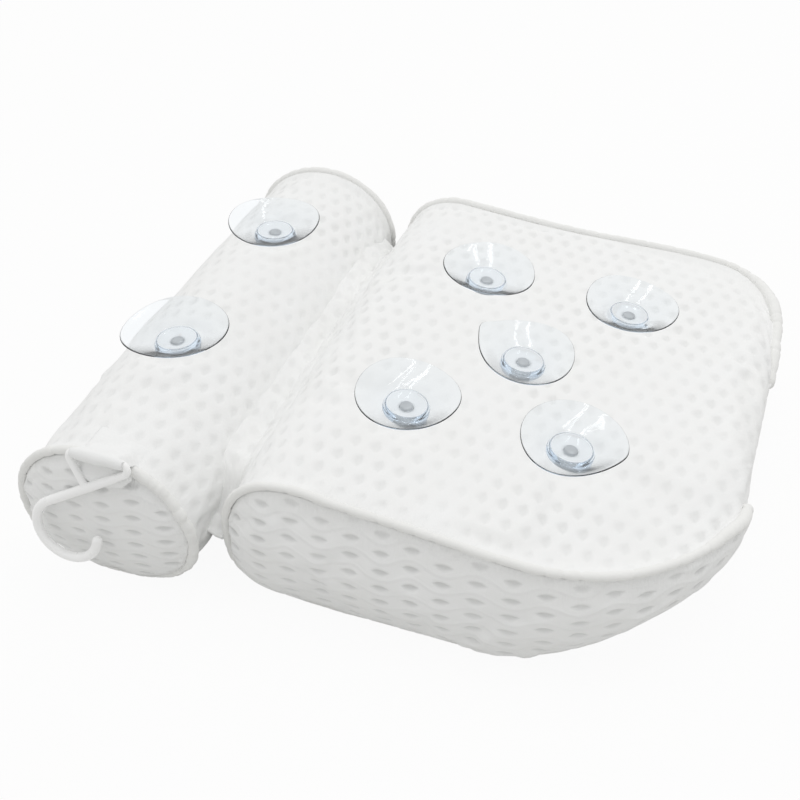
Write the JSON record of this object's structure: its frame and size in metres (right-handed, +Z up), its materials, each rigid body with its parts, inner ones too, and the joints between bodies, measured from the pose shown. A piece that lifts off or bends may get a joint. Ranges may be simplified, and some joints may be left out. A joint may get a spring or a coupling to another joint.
{
  "type": "bath pillow",
  "caption": "Padded mesh-fabric bath pillow: a wedge-shaped back pad hinged to a neck roll, with clear suction cups on the back and a rod hook for drying.",
  "frame": {"origin": "on the pad's flat underside, in the pad's mid-plane, where it rests with the cups up", "axes": "+X from the neck roll to the pad's thin end, +Y along the roll away from the hook, +Z up, out of the cups"},
  "size_m": [0.4061, 0.3693, 0.1144],
  "materials": {
    "cover_fabric": "white air-mesh with moulded dimples",
    "filling": "loose polyester filling",
    "clear_pvc": "clear soft plastic",
    "hook_plastic": "glossy white"
  },
  "bodies": {
    "pad": {"pad_wrap": "cover_fabric", "pad_side_near": "cover_fabric", "pad_side_far": "cover_fabric", "pad_piping_near": "cover_fabric", "pad_piping_far": "cover_fabric", "pad_core": "filling", "hinge_strip": "cover_fabric"},
    "roll": {"roll_wrap": "cover_fabric", "roll_end_near": "cover_fabric", "roll_end_far": "cover_fabric", "roll_piping_near": "cover_fabric", "roll_piping_far": "cover_fabric", "roll_core": "filling", "hook_tab": "cover_fabric"},
    "hook": {"hook": "hook_plastic"},
    "cup_1": {"suction_cup_1": "clear_pvc", "cup_retainer_1": "clear_pvc"},
    "cup_2": {"suction_cup_2": "clear_pvc", "cup_retainer_2": "clear_pvc"},
    "cup_3": {"suction_cup_3": "clear_pvc", "cup_retainer_3": "clear_pvc"},
    "cup_4": {"suction_cup_4": "clear_pvc", "cup_retainer_4": "clear_pvc"},
    "cup_5": {"suction_cup_5": "clear_pvc", "cup_retainer_5": "clear_pvc"},
    "cup_6": {"suction_cup_6": "clear_pvc", "cup_retainer_6": "clear_pvc"},
    "cup_7": {"suction_cup_7": "clear_pvc", "cup_retainer_7": "clear_pvc"}
  },
  "joints": [
    {"name": "roll_fold", "type": "hinge", "parent": "pad", "child": "roll", "pos_m": [-0.0925, 0, 0.048], "axis": [0, 1, 0], "range_deg": [-30, 30], "deforming": ["hinge_strip"]},
    {"name": "hook_swing", "type": "hinge", "parent": "roll", "child": "hook", "pos_m": [-0.1435, -0.17946, 0.10492], "axis": [-1, 0, 0], "range_deg": [0, 165]},
    {"name": "cup_1_turn", "type": "hinge", "parent": "roll", "child": "cup_1", "pos_m": [-0.14998, 0.058, 0.10032], "axis": [0.0239, 0, 0.9997], "continuous": true},
    {"name": "cup_2_turn", "type": "hinge", "parent": "roll", "child": "cup_2", "pos_m": [-0.15383, -0.074, 0.10029], "axis": [-0.0367, 0, 0.9993], "continuous": true},
    {"name": "cup_3_turn", "type": "hinge", "parent": "pad", "child": "cup_3", "pos_m": [0.0004, 0.0638, 0.09037], "axis": [0.1043, 0, 0.9945], "continuous": true},
    {"name": "cup_4_turn", "type": "hinge", "parent": "pad", "child": "cup_4", "pos_m": [0.0954, 0.0692, 0.08037], "axis": [0.1043, 0, 0.9945], "continuous": true},
    {"name": "cup_5_turn", "type": "hinge", "parent": "pad", "child": "cup_5", "pos_m": [-0.0084, -0.0752, 0.09116], "axis": [0.1043, 0, 0.9945], "continuous": true},
    {"name": "cup_6_turn", "type": "hinge", "parent": "pad", "child": "cup_6", "pos_m": [0.0866, -0.0698, 0.08126], "axis": [0.1043, 0, 0.9945], "continuous": true},
    {"name": "cup_7_turn", "type": "hinge", "parent": "pad", "child": "cup_7", "pos_m": [0.0435, -0.008, 0.08619], "axis": [0.1043, 0, 0.9945], "continuous": true}
  ]
}
